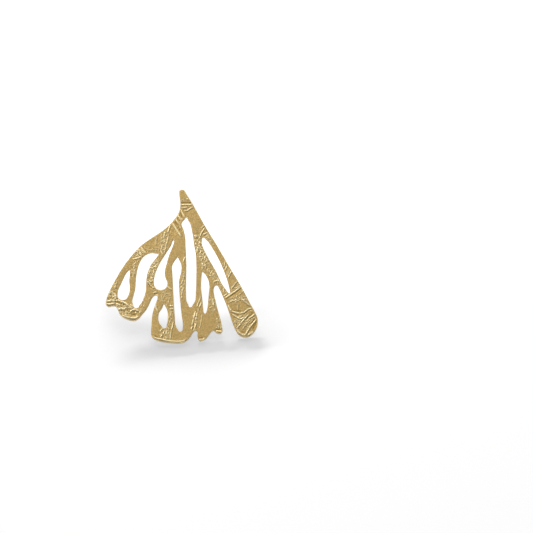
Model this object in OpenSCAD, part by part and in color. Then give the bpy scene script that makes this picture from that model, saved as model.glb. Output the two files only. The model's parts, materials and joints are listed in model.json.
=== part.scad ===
// A wing-shaped earring, cut from one flat sheet of gilded brass.
// The sheet is pierced with eight slots, its front carries raised folds and rims, and a straight
// ear post is soldered to its back near the tip. It lies as it does on a table: face up, propped
// on the end of the post and on two low points of its lower edge. The origin is on the table,
// under the middle of the wing.

/* [Wing] */
// Width of the wing, from its far corner to the outside of the strut
wing_width = 33.2; // [30:0.1:38]
// Height of the wing, from its tip to its lowest lobe
wing_height = 34.5; // [31:0.1:38]
// Thickness of the sheet
sheet_thickness = 0.9; // [0.7:0.1:1.2]
// Height of the raised folds and rims above the front of the sheet
fold_height = 0.15; // [0.05:0.05:0.3]

/* [Ear post] */
// Diameter of the post
post_diameter = 0.8; // [0.7:0.05:1]
// Length of the post behind the sheet
post_length = 10; // [8:0.5:12]
// Diameter of the soldered foot of the post
foot_diameter = 1.9; // [1.4:0.1:2.2]
// Thickness of that foot
foot_thickness = 0.35; // [0.2:0.05:0.6]

/* [Hidden] */
$fn = 48;
gold = [0.76, 0.63, 0.38];

// The wing is charted flat, in millimetres about the neck, x to the right and y up the wing.
// These two are the size of that chart, which the width and height above stretch.
chart_width = 33.2;
chart_height = 34.5;
stretch = [wing_width / chart_width, wing_height / chart_height];

// Place of the ear post on the chart
post_on_chart = [0.15, 0.85];

// Outline of the sheet, anticlockwise from the tip. Each table is one run of its edge: [x, y].
tip_and_leading_edge = [
    [-0.95, 4.55], [-1.44, 4.32], [-1.50, 3.80], [-1.36, 2.40], [-1.26, 1.00], [-1.42, -0.10],
    [-1.98, -1.30], [-3.22, -2.97], [-4.94, -4.58], [-7.45, -6.34], [-9.54, -7.83], [-10.93, -9.21],
    [-12.53, -11.14], [-14.14, -13.48], [-15.45, -15.80], [-16.54, -18.00], [-17.23, -19.80],
    [-17.48, -20.90],
];
small_scallop = [
    [-17.38, -21.46], [-16.88, -21.80], [-16.10, -21.69], [-15.35, -21.72],
];
large_scallop = [
    [-14.83, -22.45], [-14.47, -23.35], [-13.64, -24.18], [-12.28, -24.80], [-11.10, -24.92],
    [-10.33, -24.52], [-9.56, -23.61], [-8.68, -22.55], [-7.95, -21.17], [-7.49, -20.12], [-7.08, -19.52],
];
cleft = [
    [-6.70, -19.31], [-6.22, -19.36], [-6.19, -19.80], [-6.49, -20.90], [-6.88, -22.00],
    [-7.28, -23.60], [-7.43, -25.60], [-7.51, -27.60],
];
middle_lobe = [
    [-7.42, -28.35], [-6.99, -28.94], [-5.60, -29.50], [-3.80, -29.83], [-2.60, -29.94],
    [-0.90, -29.90], [-0.10, -29.62], [0.68, -28.96], [1.34, -28.01], [1.75, -27.37], [2.15, -27.17],
];
teeth = [
    [2.53, -27.42], [2.55, -28.20], [2.73, -29.05], [3.15, -29.49], [3.71, -29.39], [4.50, -28.86],
    [5.19, -27.93], [5.74, -27.34], [6.12, -27.22], [6.50, -27.56], [7.10, -27.88], [7.66, -27.84],
    [7.98, -27.30],
];
strut_gap = [
    [7.91, -26.20], [7.54, -24.48], [7.00, -22.58], [6.51, -20.48], [6.14, -18.70], [6.14, -17.75],
    [6.43, -17.21], [6.90, -17.14], [7.31, -17.79], [8.01, -19.36], [8.78, -21.26], [9.57, -23.47],
    [10.27, -25.67],
];
strut_end = [
    [10.91, -27.18], [11.63, -28.23], [12.66, -28.69], [13.68, -28.60], [14.56, -27.98],
    [15.29, -26.98], [15.67, -25.80], [15.68, -24.60], [15.17, -23.20], [14.54, -22.00],
];
strut_back = [
    [11.96, -17.07], [9.58, -12.98], [6.99, -8.41], [4.25, -3.77], [2.13, 0.09], [0.96, 2.13],
    [-0.09, 3.86], [-0.45, 4.40],
];

// Slots sawn through the sheet. Each row is a section across the slot: [x, y, half width].
long_slot = [
    [0.06, -2.18, 0.36], [-0.05, -3.08, 0.93], [0.28, -4.20, 0.89], [0.66, -6.00, 0.84],
    [0.89, -8.50, 0.94], [1.08, -9.90, 1.04], [1.19, -12.00, 1.06], [1.17, -16.00, 1.09],
    [1.11, -19.00, 1.07], [1.09, -20.65, 0.90], [1.02, -21.56, 0.42],
];
strut_slot = [
    [3.86, -6.66, 0.34], [4.16, -7.45, 0.69], [5.05, -9.19, 0.90], [6.39, -11.69, 0.93],
    [7.51, -13.94, 0.81], [8.46, -16.34, 0.69], [9.07, -17.74, 0.45], [9.51, -18.73, 0.20],
];
lance_slot = [
    [3.72, -14.29, 0.20], [3.96, -15.04, 0.52], [4.20, -16.34, 0.83], [4.25, -17.50, 0.91],
    [4.25, -19.00, 0.75], [4.28, -21.00, 0.57], [4.25, -22.38, 0.43], [4.20, -23.13, 0.26],
];
straight_slot = [
    [-1.84, -10.97, 0.17], [-1.91, -11.80, 0.66], [-2.00, -12.72, 1.00], [-2.02, -14.00, 0.95],
    [-2.17, -16.00, 0.69], [-2.12, -18.00, 0.66], [-1.90, -21.00, 0.71], [-1.63, -24.00, 0.75],
    [-1.42, -25.80, 0.79], [-1.18, -26.83, 0.53],
];
tear_slot = [
    [-2.74, -7.02, 0.14], [-3.04, -8.02, 0.20], [-3.57, -9.12, 0.30], [-4.26, -10.54, 0.45],
    [-4.82, -11.84, 0.66], [-5.35, -13.24, 0.84], [-5.66, -14.62, 1.04], [-5.69, -15.71, 1.29],
    [-5.50, -16.70, 1.47],
];
hooked_slot = [
    [-6.34, -10.22, 0.29], [-7.14, -10.52, 0.80], [-8.30, -11.28, 1.14], [-9.13, -12.68, 1.20],
    [-9.63, -14.38, 1.13], [-9.84, -16.50, 1.13], [-9.91, -18.00, 1.17], [-10.29, -19.50, 1.14],
    [-10.74, -20.92, 0.97], [-10.80, -21.50, 0.66],
];
corner_slot = [
    [-12.44, -13.79, 0.15], [-12.70, -14.54, 0.42], [-13.05, -15.72, 0.65], [-13.27, -17.00, 0.97],
    [-13.56, -18.32, 1.26], [-13.78, -19.19, 1.17],
];
oval_slot = [
    [-4.79, -21.48, 0.18], [-4.70, -22.14, 0.46], [-4.86, -23.20, 0.94], [-4.95, -24.20, 1.04],
    [-4.86, -25.30, 0.89], [-4.66, -26.17, 0.49],
];
slots = [
    long_slot, strut_slot, lance_slot, straight_slot, tear_slot, hooked_slot, corner_slot, oval_slot,
];

// Folds raised on the front of the sheet, each a list of sections across it: [x, y, half width]
neck_folds = [
    [[-0.95, 1.05, 0.08], [0.10, 1.12, 0.16], [1.10, 1.05, 0.08]],
    [[-0.95, -0.15, 0.08], [-0.65, -0.90, 0.15], [-0.30, -1.60, 0.08]],
    [[-2.75, -3.20, 0.08], [-2.00, -4.40, 0.17], [-1.15, -5.80, 0.08]],
    [[-3.50, -3.90, 0.08], [-3.95, -5.20, 0.15], [-4.15, -6.80, 0.14], [-4.35, -8.30, 0.08]],
];
leading_edge_folds = [
    [[-9.75, -8.60, 0.08], [-9.20, -9.25, 0.15], [-8.80, -9.80, 0.08]],
    [[-11.60, -11.15, 0.08], [-10.90, -11.02, 0.16], [-10.25, -10.90, 0.08]],
    [[-8.40, -16.40, 0.08], [-7.85, -16.85, 0.16], [-7.30, -17.15, 0.08]],
    [[-3.99, -17.40, 0.08], [-3.63, -17.82, 0.14], [-3.20, -18.05, 0.08]],
];
strut_folds = [
    [[3.95, -4.20, 0.08], [3.50, -5.30, 0.15], [3.10, -6.20, 0.08]],
    [[8.80, -19.75, 0.08], [10.20, -18.92, 0.18], [11.75, -17.85, 0.08]],
    [[11.90, -20.10, 0.08], [12.80, -20.95, 0.16], [13.85, -21.50, 0.08]],
    [
        [9.60, -21.95, 0.08], [9.95, -22.70, 0.16], [10.70, -23.18, 0.18], [11.80, -23.35, 0.18],
        [12.80, -23.05, 0.18], [13.60, -22.60, 0.15], [14.30, -22.40, 0.08],
    ],
    [[14.90, -23.60, 0.08], [13.40, -24.40, 0.17], [12.30, -25.25, 0.17], [11.70, -26.15, 0.08]],
    [[15.25, -25.00, 0.08], [14.40, -26.20, 0.17], [13.60, -27.25, 0.15], [13.20, -27.90, 0.08]],
];
lower_folds = [
    [[3.40, -19.60, 0.08], [3.00, -20.80, 0.13], [2.65, -21.90, 0.08]],
    [[2.10, -23.20, 0.08], [1.85, -24.80, 0.14], [1.55, -26.60, 0.08]],
    [[-2.95, -25.30, 0.08], [-3.15, -26.60, 0.14], [-3.40, -28.00, 0.08]],
    [[-11.60, -22.95, 0.08], [-11.00, -22.85, 0.16], [-10.30, -22.95, 0.08]],
    [[-17.20, -20.50, 0.08], [-16.40, -20.58, 0.15], [-15.50, -20.40, 0.08]],
    [
        [-17.05, -21.25, 0.08], [-16.30, -21.18, 0.17], [-15.40, -20.95, 0.18], [-14.60, -20.85, 0.18],
        [-13.60, -21.00, 0.18], [-12.90, -21.35, 0.17], [-12.30, -21.95, 0.15], [-11.95, -22.50, 0.08],
    ],
];
// Raised rims along the lower edges of the lobes, the teeth and the strut
rims = [
    [
        [-14.35, -23.16, 0.08], [-13.80, -23.75, 0.17], [-12.80, -24.22, 0.20], [-11.50, -24.42, 0.20],
        [-10.70, -24.25, 0.16], [-10.30, -23.85, 0.08],
    ],
    [
        [-7.15, -28.40, 0.08], [-6.30, -28.93, 0.16], [-5.00, -29.28, 0.17], [-3.50, -29.53, 0.17],
        [-2.00, -29.60, 0.17], [-1.00, -29.48, 0.16], [-0.30, -29.20, 0.08],
    ],
    [[3.05, -28.85, 0.08], [3.40, -28.98, 0.13], [3.80, -28.85, 0.08]],
    [[6.65, -27.42, 0.08], [7.20, -27.58, 0.13], [7.70, -27.48, 0.08]],
    [[11.35, -26.75, 0.08], [11.75, -27.55, 0.14], [12.30, -28.05, 0.15], [12.95, -28.30, 0.08]],
];

// Largest turn, in degrees, that one straight piece of a curve makes on an edge and on a fold
edge_turn = 7;
fold_turn = 20;

// Length of a chord on the chart, whatever else its rows hold
function reach(a, b) = norm([b.x - a.x, b.y - a.y]);

// Direction of travel through knot i, from the chords on both sides of it
function heading(knots, i) =
    let (
        arriving = knots[i] - knots[i - 1],
        leaving = knots[i + 1] - knots[i],
        before = norm(arriving),
        after = norm(leaving)
    )
    (arriving * after / before + leaving * before / after) / (before + after);

// Angle between two headings, in degrees
function turn(a, b) = acos(min(1, a * b / (norm(a) * norm(b))));

// Point at share t of the way along the cubic from a to b, which starts and ends with these speeds
function on_cubic(a, b, start, finish, t) =
    a * (1 - 3 * t * t + 2 * t * t * t) + start * (t - 2 * t * t + t * t * t)
    + b * (3 * t * t - 2 * t * t * t) + finish * (t * t * t - t * t);

// A smooth closed loop through knots, with more pieces where it bends more
function smooth_loop(knots, largest_turn) =
    let (
        count = len(knots),
        around = [for (i = [-1:count + 1]) knots[(i + count) % count]]
    )
    [
        for (i = [1:count])
        let (
            span = reach(around[i], around[i + 1]),
            start = heading(around, i),
            finish = i < count ? heading(around, i + 1) : heading(around, 1),
            pieces = max(2, ceil(turn(start, finish) / largest_turn))
        )
        for (k = [0:pieces - 1])
        on_cubic(around[i], around[i + 1], start * span, finish * span, k / pieces)
    ];

// Unit vector along a run of sections at row i
function along(rows, i) =
    let (
        a = rows[max(0, i - 1)],
        b = rows[min(len(rows) - 1, i + 1)]
    )
    [b.x - a.x, b.y - a.y] / reach(a, b);

// Points down one side of a run of sections: side is 1 for its left and -1 for its right
function flank(rows, side) = [
    for (i = [0:len(rows) - 1])
    let (d = along(rows, i))
    [rows[i].x, rows[i].y] + side * rows[i].z * [-d.y, d.x]
];

// Points round an end of a run, where way is 1 past its last section and -1 before its first
function round_end(row, d, way) = [
    for (angle = [45, 0, -45])
    [row.x, row.y] + way * row.z * (cos(angle) * d + sin(angle) * [-d.y, d.x])
];

// Smooth outline of a slot or fold: down its left side, round its last section and up its right side
function leaf(rows, largest_turn) =
    let (last = len(rows) - 1, right = flank(rows, -1))
    smooth_loop(
        concat(
            flank(rows, 1),
            round_end(rows[last], along(rows, last), 1),
            [for (i = [last:-1:0]) right[i]],
            round_end(rows[0], along(rows, 0), -1)
        ),
        largest_turn
    );

// The same points at the size of the wing
function sized(points) = [for (p = points) [p.x * stretch.x, p.y * stretch.y]];

outline = sized(smooth_loop(
    concat(
        tip_and_leading_edge, small_scallop, large_scallop, cleft, middle_lobe, teeth,
        strut_gap, strut_end, strut_back
    ),
    edge_turn
));
post_place = sized([post_on_chart])[0];

// The wing lies on the end of its post and on two feet of its back edge, one on the middle lobe and
// one on the strut. A foot is the lowest vertex of its stretch under a line of the given slope.
between_feet = 9.5 * stretch.x;
middle_stretch = [for (p = outline) if (p.x < between_feet) p];
strut_stretch = [for (p = outline) if (p.x > between_feet) p];
function lowest(points, slope) =
    let (drops = [for (p = points) p.y - slope * p.x])
    points[search(min(drops), drops)[0]];
function feet(slope) = [lowest(middle_stretch, slope), lowest(strut_stretch, slope)];
function slope_of(pair) = (pair[1].y - pair[0].y) / (pair[1].x - pair[0].x);
rough_slope = slope_of(feet(0));
lobe_foot = feet(rough_slope)[0];
level_turn = atan(slope_of(feet(rough_slope)));

// The chart turned about the lobe's foot, so that both feet lie on its x axis
function levelled(p) =
    let (d = p - lobe_foot)
    [d.x * cos(level_turn) + d.y * sin(level_turn), d.y * cos(level_turn) - d.x * sin(level_turn)];
level_outline = [for (p = outline) levelled(p)];
level_post = levelled(post_place);

// Angle at which the wing leans on its post, and the middle of the space that it then covers
lean = atan(post_length / (level_post.y - post_diameter / 2));
left_end = min([for (p = level_outline) p.x]);
right_end = max([for (p = level_outline) p.x]);
near_end = -sheet_thickness * sin(lean);
far_end = cos(lean) * max([for (p = level_outline) p.y]);
middle = [(left_end + right_end) / 2, (near_end + far_end) / 2, 0];

// How far a fold starts below the front face, so that it grows out of the sheet
fold_root = 0.2;
// How far the post and its foot run into the sheet
solder_depth = 0.4;

module pierced_sheet() {
    linear_extrude(sheet_thickness)
    difference() {
        polygon(outline);
        for (s = slots) polygon(sized(leaf(s, edge_turn)));
    }
}

module raised_folds() {
    translate([0, 0, sheet_thickness - fold_root])
    linear_extrude(fold_root + fold_height)
    for (f = concat(neck_folds, leading_edge_folds, strut_folds, lower_folds, rims))
    polygon(sized(leaf(f, fold_turn)));
}

module ear_post() {
    translate([post_place.x, post_place.y, -post_length])
    cylinder(d = post_diameter, h = post_length + solder_depth);
    translate([post_place.x, post_place.y, -foot_thickness])
    cylinder(d = foot_diameter, h = foot_thickness + solder_depth);
}

// Sheet, folds and post are one piece of metal
module wing() {
    color(gold)
    translate(-middle)
    rotate([lean, 0, 0])
    rotate([0, 0, -level_turn])
    translate([-lobe_foot.x, -lobe_foot.y, 0]) {
        pierced_sheet();
        raised_folds();
        ear_post();
    }
}

wing();
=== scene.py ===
# %% [markdown]
# # A pierced wing earring in satin gold
# The real earring is one flat sheet of gilded brass, cut to a wing and pierced with slots. Its
# front was pressed against crumpled foil, so it carries thin folds, crinkled patches and plain
# satin fields. A straight ear post is soldered to its back, and the earring rests on it.
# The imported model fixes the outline, the slots, the thickness and the pose. Here the same sheet
# is made again with rounded edges, real relief and a finish. First the model is loaded.

import json
import math

import bpy
import numpy as np
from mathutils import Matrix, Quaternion, Vector
from mathutils.geometry import delaunay_2d_cdt


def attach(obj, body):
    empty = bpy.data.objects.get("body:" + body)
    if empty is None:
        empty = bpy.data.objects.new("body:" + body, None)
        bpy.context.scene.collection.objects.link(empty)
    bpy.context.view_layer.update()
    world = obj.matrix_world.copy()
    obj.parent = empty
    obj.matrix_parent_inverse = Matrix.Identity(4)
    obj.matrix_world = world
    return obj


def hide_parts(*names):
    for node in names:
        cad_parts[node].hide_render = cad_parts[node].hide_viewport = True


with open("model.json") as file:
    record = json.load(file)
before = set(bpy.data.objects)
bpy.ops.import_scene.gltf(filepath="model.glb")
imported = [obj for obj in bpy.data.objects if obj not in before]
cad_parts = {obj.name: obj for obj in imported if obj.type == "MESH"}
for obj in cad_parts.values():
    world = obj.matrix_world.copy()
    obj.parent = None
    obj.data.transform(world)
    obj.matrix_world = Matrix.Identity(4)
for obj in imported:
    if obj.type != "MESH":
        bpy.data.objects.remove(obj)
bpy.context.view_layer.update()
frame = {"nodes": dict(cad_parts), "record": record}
MM = 0.001

# %% [markdown]
# The sheet leans on its post, so its own axes are not the world's. The post's mount gives the
# way the sheet faces. Everything below is worked out flat, in millimetres on a chart: x to the
# right, y up the wing and z out of its back face. One matrix then lays the chart in the world.

# %% Axes of the sheet
post_mount = frame["record"]["mounts"][0]
post_on_chart = np.array([0.15, 0.85])
level_turn = math.radians(4.960)

front = -np.array(post_mount["axis"])
uphill = np.cross(front, [1, 0, 0])
across = math.cos(level_turn) * np.array([1, 0, 0]) - math.sin(level_turn) * uphill
along = math.sin(level_turn) * np.array([1, 0, 0]) + math.cos(level_turn) * uphill
axes = np.stack([across, along, front])


def cad_mesh(name):
    """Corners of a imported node, doubles merged, and its triangles as rows of three corner numbers."""
    mesh = frame["nodes"][name].data
    mesh.calc_loop_triangles()
    corners = np.empty(len(mesh.vertices) * 3)
    mesh.vertices.foreach_get("co", corners)
    rows = np.empty(len(mesh.loop_triangles) * 3, int)
    mesh.loop_triangles.foreach_get("vertices", rows)
    kept, number = np.unique(corners.reshape(-1, 3).round(7), axis=0, return_inverse=True)
    return kept, number.reshape(-1)[rows].reshape(-1, 3)


cad_points, cad_triangles = cad_mesh("wing")
reach = cad_points @ front
levels, counts = np.unique(reach.round(6), return_counts=True)
back_level, front_level = np.sort(levels[np.argsort(counts)[-2:]])
thickness = (front_level - back_level) / MM

post_middle = np.array(post_mount["pos_m"])
post_root = post_middle + front * (back_level - post_middle @ front)
chart_origin = post_root - MM * (post_on_chart @ axes[:2])
print("sheet", round(thickness, 3), "mm thick, facing", front.round(3))


def laid(points):
    """World places, in metres, of chart points: the origin plus x, y and z along the sheet's axes."""
    return chart_origin + MM * (points @ axes)


# %% [markdown]
# The sheet's back face is flat and carries only the post, so its border is the exact outline of
# the wing and of its slots. An edge that only one triangle of the face has lies on the border.
# Followed from corner to corner, those edges give closed loops, with the metal on their left.

# %% Outlines read from the frame
flat_within = 0.002
near_post = 0.1

chart_points = (cad_points - chart_origin) @ axes.T / MM
on_back = (np.abs(chart_points[cad_triangles][:, :, 2]) < flat_within).all(1)
face = cad_triangles[on_back][:, ::-1]
steps = np.concatenate([face[:, [0, 1]], face[:, [1, 2]], face[:, [2, 0]]])
size = len(cad_points)
lone = ~np.isin(steps[:, 0] * size + steps[:, 1], steps[:, 1] * size + steps[:, 0])
follows = dict(steps[lone].tolist())
loops = []
while follows:
    here, onward = follows.popitem()
    loop = [here]
    while onward != here:
        loop.append(onward)
        onward = follows.pop(onward)
    loops.append(chart_points[loop, :2])
loops.sort(key=lambda p: -np.ptp(p[:, 1]))


def holds_post(loop):
    """True for the border round the post's foot."""
    return np.hypot(*(loop.mean(0) - post_on_chart)) < near_post


foot_radius = next(np.hypot(*(p - post_on_chart).T).mean() for p in loops if holds_post(p))
borders = [p for p in loops if not holds_post(p)]
print(len(borders), "borders; foot of the post", round(2 * foot_radius, 2), "mm across")

# %% [markdown]
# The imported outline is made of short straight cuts. A cubic through its corners, with its
# direction at each corner taken from the two cuts that meet there, brings the smooth curve back.
# It is then read off at even steps, which is the path that the rim's profile is carried along.

# %% Smooth borders
rim_step = 0.11


def smooth_border(knots, step):
    """Points and inward directions at even steps round a closed curve through knots.
    Between two knots the curve is a cubic that leaves and arrives along the knots' directions."""
    leaving = np.roll(knots, -1, 0) - knots
    span = np.hypot(*leaving.T)
    arriving = np.roll(leaving, 1, 0)
    before = np.roll(span, 1)
    blend = before + span
    heading = arriving * (span / before / blend)[:, None] + leaving * (before / span / blend)[:, None]
    ends = np.concatenate([[0], np.cumsum(span)])
    count = int(round(ends[-1] / step))
    place = np.arange(count) * ends[-1] / count
    i = np.searchsorted(ends, place, "right") - 1
    j = (i + 1) % len(knots)
    t = ((place - ends[i]) / span[i])[:, None]
    pull = span[i][:, None]
    points = (
        knots[i] * (1 - 3 * t**2 + 2 * t**3)
        + heading[i] * pull * (t - 2 * t**2 + t**3)
        + knots[j] * (3 * t**2 - 2 * t**3)
        + heading[j] * pull * (t**3 - t**2)
    )
    chord = np.roll(points, -1, 0) - np.roll(points, 1, 0)
    chord /= np.hypot(*chord.T)[:, None]
    return points, np.stack([-chord[:, 1], chord[:, 0]], 1)


rims = [smooth_border(p, rim_step) for p in borders]
print(sum(len(p) for p, _ in rims), "steps round all the borders")

# %% [markdown]
# Relief comes from three kinds of height on the chart. A crease is a thin fold along a short
# curve, with a groove beside it. A crinkle is foil crumpled in a patch: sharp ridges round
# rounded dips. Under both lies a slow swell, too slight to see but for the way it moves the light.

# %% Noise to build the relief from
lattice_size = 64
seeds = {"grit": 9, "ragged edge": 11, "bend": 20, "coarse foil": 40, "fine foil": 70}
ridge_width = 0.24
# A slow noise scales the ridges: its size in cells, its mean, its spread and the least it leaves.
fading_size = 1.6
fading_mean = 0.75
fading_spread = 0.9
faintest_ridge = 0.1


def lattice(seed, shape):
    """A table of random numbers from 0 to 1, read round and round."""
    return np.random.default_rng(seed).random((lattice_size, lattice_size) + shape)


def at(table, i, j):
    """The table's numbers at whole places i and j, counted round its edges."""
    return table[i % lattice_size, j % lattice_size]


def swell(x, y, cell, seed):
    """Smooth noise from -1 to 1: random heights on a square lattice, with a smooth step between them."""
    table = lattice(seed, ())
    u, v = x / cell, y / cell
    i, j = np.floor(u).astype(int), np.floor(v).astype(int)
    s, t = u - i, v - j
    s, t = s * s * (3 - 2 * s), t * t * (3 - 2 * t)
    low = at(table, i, j) * (1 - s) + at(table, i + 1, j) * s
    high = at(table, i, j + 1) * (1 - s) + at(table, i + 1, j + 1) * s
    return 2 * (low * (1 - t) + high * t) - 1


def wrinkles(x, y, cell, seed):
    """Crumpled foil: thin ridges from 0 to 1 on the borders between scattered points, one to a cell.
    A border is where the nearest and the second nearest point are equally far. A slow noise leaves some
    ridges faint."""
    far = 9.0
    table = lattice(seed, (2,))
    u, v = x / cell, y / cell
    i, j = np.floor(u).astype(int), np.floor(v).astype(int)
    first = np.full(len(u), far)
    second = np.full(len(u), far)
    for di in (-1, 0, 1):
        for dj in (-1, 0, 1):
            spot = at(table, i + di, j + dj)
            away = np.hypot(i + di + spot[:, 0] - u, j + dj + spot[:, 1] - v)
            second = np.minimum(second, np.maximum(first, away))
            first = np.minimum(first, away)
    ridge = np.exp(-(((second - first) / ridge_width) ** 2))
    fading = fading_mean + fading_spread * swell(x, y, fading_size * cell, seed + 1)
    return ridge * np.clip(fading, faintest_ridge, 1)


# %% [markdown]
# A crease is a fold with a shallow groove along its lee. A bump texture could paint it, but real
# height also shows at a glancing angle and in the exported mesh. A smooth curve is laid through a
# few points, and each part of the crease is a bell across it, worked out from the distance to it.

# %% Folds along curves
def curve_through(knots, pieces=6):
    """Points along a smooth open curve through a few knots: the cubic whose slope at a knot is that of
    the line between its neighbours."""
    knots = np.array(knots, float)
    ends = np.concatenate([[2 * knots[0] - knots[1]], knots, [2 * knots[-1] - knots[-2]]])
    t = np.linspace(0, 1, pieces, endpoint=False)[None, :, None]
    a, b, c, d = (ends[k : len(ends) - 3 + k][:, None, :] for k in range(4))
    run = 0.5 * (2 * b + (c - a) * t + (2 * a - 5 * b + 4 * c - d) * t**2 + (3 * b - a - 3 * c + d) * t**3)
    return np.concatenate([run.reshape(-1, 2), knots[-1:]])


def beside(x, y, line):
    """Distance of each point from a broken line, positive on its left, and the share of the line's length
    that is reached there."""
    a, b = line[:-1], line[1:]
    along_line = b - a
    length = np.hypot(*along_line.T)
    ends = np.concatenate([[0], np.cumsum(length)])
    away = np.stack([x, y], 1)[:, None, :] - a
    t = np.clip((away * along_line).sum(2) / length**2, 0, 1)
    gap = away - t[..., None] * along_line
    squared = (gap**2).sum(2)
    k = squared.argmin(1)
    rows = np.arange(len(x))
    side = along_line[k, 0] * away[rows, k, 1] - along_line[k, 1] * away[rows, k, 0]
    share = (ends[k] + t[rows, k] * length[k]) / ends[-1]
    return np.sqrt(squared[rows, k]) * np.where(side < 0, -1, 1), share


def bell(away, half, middle=0, width=1):
    """A smooth hump of height 1 across a fold: e to the minus square of the distance from its middle over
    its own half width. Both are given in half widths of the fold."""
    return np.exp(-(((away - middle * half) / (width * half)) ** 2))


# %% [markdown]
# A fold's height is its bell, less a low groove on the lee side. The pale mask is a rub on the fold's top
# and a painted highlight on the flank that faces the lights, so it lies a little to that side of the top.
# The dark mask is painted shade along the groove on the lee. Both masks are bells of their own. Low folds
# get less of both.

# %% Height and masks of a crease
# The side the brightest panels shine from, up and to the left on the chart, which the painted highlight of
# the folds faces.
lit_side = np.array([-0.7, 0.7])
# Middle and half width of each part of a fold, in half widths of the fold.
groove_part = (-1.8, 1)
rub_highlight_part = (0.35, 0.85)
lee_shade_part = (-1.5, 0.8)
groove_depth = 0.3
most_lee_shade = 0.65
full_rub_highlight_rise = 0.06
full_lee_shade_rise = 0.07
fold_reach = 4
blunt_ends = 2.2


def add_creases(x, y, rows, height, crest, hollow):
    """Adds each crease: a bell across it, lower towards its ends, with a shallow groove along its lee. The
    pale mask, a rub and a painted highlight, lies a little to the lit side of the bell, and painted shade
    lies in the groove. A crease with a minus height is a groove, painted dark across its width."""
    for rise, half, *knots in rows:
        line = curve_through(knots)
        chord = line[-1] - line[0]
        if lit_side @ [-chord[1], chord[0]] < 0:
            line = line[::-1]
        low, high = line.min(0) - fold_reach * half, line.max(0) + fold_reach * half
        near = (x > low[0]) & (x < high[0]) & (y > low[1]) & (y < high[1])
        if not near.any():
            continue
        off, share = beside(x[near], y[near], line)
        taper = np.clip(4 * share * (1 - share) * blunt_ends, 0, 1) ** 0.5
        fold = bell(off, half) * taper
        if rise < 0:
            height[near] += rise * fold
            hollow[near] = np.maximum(hollow[near], fold)
            continue
        groove = bell(off, half, *groove_part) * taper
        rub_highlight = bell(off, half, *rub_highlight_part) * taper
        painted_shade_share = bell(off, half, *lee_shade_part) * taper
        height[near] += rise * (fold - groove_depth * groove)
        crest[near] = np.maximum(crest[near], rub_highlight * min(1, rise / full_rub_highlight_rise))
        hollow[near] = np.maximum(hollow[near], most_lee_shade * painted_shade_share * min(1, rise / full_lee_shade_rise))


# %% [markdown]
# The bold creases were placed region by region, since their places are what makes the sheet look like the
# real one. Each row gives a height and a half width in millimetres, then the few points that the crease
# runs through. A minus height is a groove.

# %% Rows of creases
crease_rows = []


def crease_region(name, *rows):
    """Keeps the creases of one region for the relief."""
    crease_rows.extend(rows)
    print(name + ":", len(rows), "creases")


# %% [markdown]
# Short straight folds cross the neck, and longer ones fan out where it widens.

# %% The neck
crease_region(
    "neck",
    (-0.07, 0.15, (-1.1, 1.45), (0.2, 1.47), (1.3, 1.52)),
    (0.062, 0.125, (-1.2, 1.02), (0.0, 1.04), (1.4, 1.05)),
    (0.04, 0.12, (-0.9, 2.15), (-0.5, 2.05)),
    (0.05, 0.13, (0.0, 2.3), (0.5, 2.35)),
    (0.042, 0.11, (-0.85, 0.38), (-0.3, 0.36), (0.35, 0.34)),
    (-0.06, 0.13, (0.55, 0.42), (0.95, 0.46)),
    (-0.06, 0.15, (-0.75, 0.02), (-0.2, 0.03), (0.35, 0.05)),
    (0.055, 0.12, (-0.4, -0.36), (0.2, -0.36), (0.6, -0.06), (1.0, 0.2), (1.55, 0.38)),
    (0.075, 0.135, (-1.05, -0.1), (-0.8, -0.7), (-0.5, -1.3), (-0.25, -1.85)),
    (-0.06, 0.2, (-1.25, -0.75), (-1.0, -1.35), (-0.75, -1.9)),
    (0.07, 0.125, (-1.78, -1.15), (-1.6, -1.6), (-1.3, -1.95), (-0.75, -2.35)),
    (-0.06, 0.2, (-1.95, -1.85), (-1.65, -2.3), (-1.25, -2.7)),
    (0.07, 0.125, (-2.2, -1.95), (-2.05, -2.45), (-1.75, -2.95), (-1.2, -3.4)),
    (-0.06, 0.22, (-2.4, -2.75), (-2.05, -3.25), (-1.65, -3.7)),
    (0.085, 0.15, (-3.0, -3.0), (-2.5, -3.75), (-1.95, -4.65), (-1.4, -5.5), (-0.9, -6.2)),
    (-0.05, 0.2, (-1.75, -3.85), (-1.4, -4.5), (-1.05, -5.1)),
    (0.05, 0.13, (-1.35, -3.85), (-1.05, -4.35)),
)

# %% [markdown]
# A plaited band runs down the shoulder between two plain fields. Bolder folds cross the leading
# edge, where the outer arm starts.

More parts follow.
